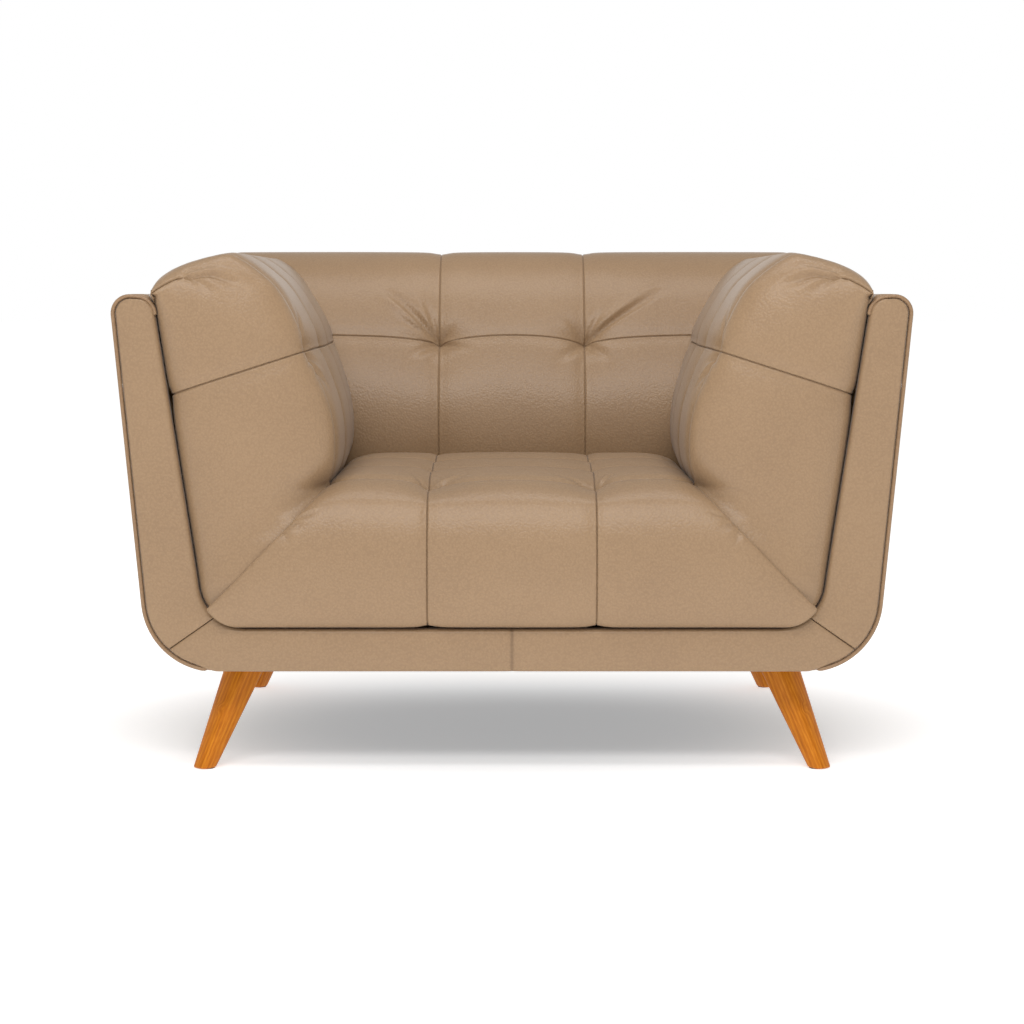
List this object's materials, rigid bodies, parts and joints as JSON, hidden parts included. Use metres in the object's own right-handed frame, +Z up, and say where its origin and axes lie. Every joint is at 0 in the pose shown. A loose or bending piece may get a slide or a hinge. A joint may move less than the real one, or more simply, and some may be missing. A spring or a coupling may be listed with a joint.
{
  "type": "upholstered armchair",
  "caption": "Wide leather armchair with a padded shell, tufted seat, arms and back, and splayed tapered wooden legs",
  "frame": {"origin": "on the floor, under the middle of the chair's box", "axes": "+X to the right seen from the front, the chair faces -Y, +Z up"},
  "size_m": [1.1706, 0.8844, 0.7844],
  "materials": {
    "leather": "tan pebble-grain leather, satin",
    "welt_leather": "the same leather wrapped on a cord",
    "foam": "cream upholstery foam, matt and open-celled",
    "beech": "sawn beech, unfinished",
    "plywood": "birch plywood, unfinished",
    "leg_wood": "honey-stained wood, satin lacquer",
    "spring_steel": "oil-tempered spring wire",
    "zinc": "zinc-plated steel",
    "cambric": "black non-woven dust cloth, matt",
    "glide_nylon": "brown nylon"
  },
  "bodies": {
    "root": {"back_board": "plywood", "back_cover": "leather", "back_foam": "foam", "back_top_rail": "beech", "base_border": "leather", "base_front_rail": "beech", "base_left_rail": "beech", "base_rear_rail": "beech", "base_right_rail": "beech", "dust_cover": "cambric", "left_arm_board": "plywood", "left_arm_cover": "leather", "left_arm_foam": "foam", "left_arm_rail": "beech", "left_back_post": "beech", "left_border": "leather", "left_front_corner_block": "beech", "left_front_glide": "glide_nylon", "left_front_hanger_bolt": "zinc", "left_front_leg": "leg_wood", "left_front_post": "beech", "left_outer_arm": "leather", "left_rear_corner_block": "beech", "left_rear_glide": "glide_nylon", "left_rear_hanger_bolt": "zinc", "left_rear_leg": "leg_wood", "left_welt": "welt_leather", "outer_back": "leather", "right_arm_board": "plywood", "right_arm_cover": "leather", "right_arm_foam": "foam", "right_arm_rail": "beech", "right_back_post": "beech", "right_border": "leather", "right_front_corner_block": "beech", "right_front_glide": "glide_nylon", "right_front_hanger_bolt": "zinc", "right_front_leg": "leg_wood", "right_front_post": "beech", "right_outer_arm": "leather", "right_rear_corner_block": "beech", "right_rear_glide": "glide_nylon", "right_rear_hanger_bolt": "zinc", "right_rear_leg": "leg_wood", "right_welt": "welt_leather", "seat_cover": "leather", "seat_foam": "foam", "seat_spring_1": "spring_steel", "seat_spring_2": "spring_steel", "seat_spring_3": "spring_steel", "seat_spring_4": "spring_steel", "spring_clip_front_1": "zinc", "spring_clip_front_2": "zinc", "spring_clip_front_3": "zinc", "spring_clip_front_4": "zinc", "spring_clip_rear_1": "zinc", "spring_clip_rear_2": "zinc", "spring_clip_rear_3": "zinc", "spring_clip_rear_4": "zinc"}
  },
  "joints": []
}
